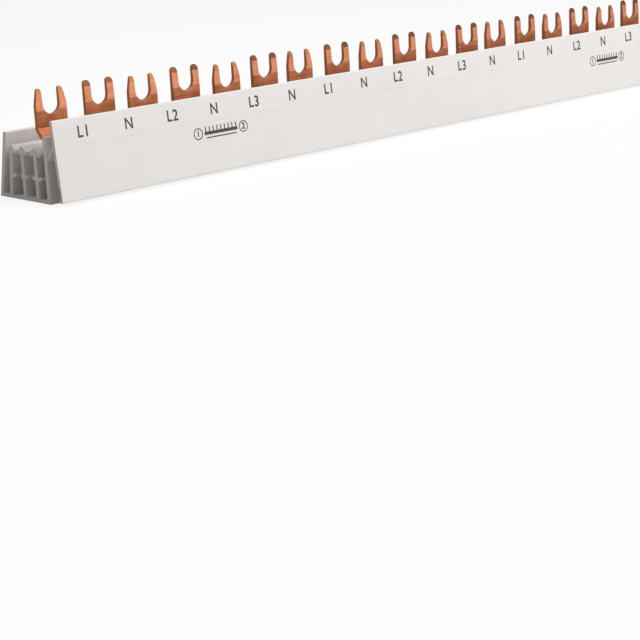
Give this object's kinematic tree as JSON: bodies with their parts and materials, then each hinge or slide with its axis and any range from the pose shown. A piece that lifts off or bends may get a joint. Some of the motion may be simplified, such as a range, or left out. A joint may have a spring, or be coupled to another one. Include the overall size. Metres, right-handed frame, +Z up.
{
  "type": "comb busbar",
  "caption": "Fork-type comb busbar: upright punched copper forks from phase and neutral combs, held in an extruded grey insulating profile with a leaning front cover.",
  "frame": {"origin": "middle of the flat underside, halfway along the bar", "axes": "+X along the bar, -Y towards the front cover, +Z up towards the forks"},
  "size_m": [0.4272, 0.034, 0.036],
  "materials": {
    "profile_pvc": "extruded rigid PVC, light grey, fine matt",
    "copper": "bright rolled copper, punched and folded"
  },
  "bodies": {
    "root": {"insulating_profile": "profile_pvc", "comb_neutral": "copper", "comb_l1": "copper", "comb_l2": "copper", "comb_l3": "copper"}
  },
  "joints": []
}
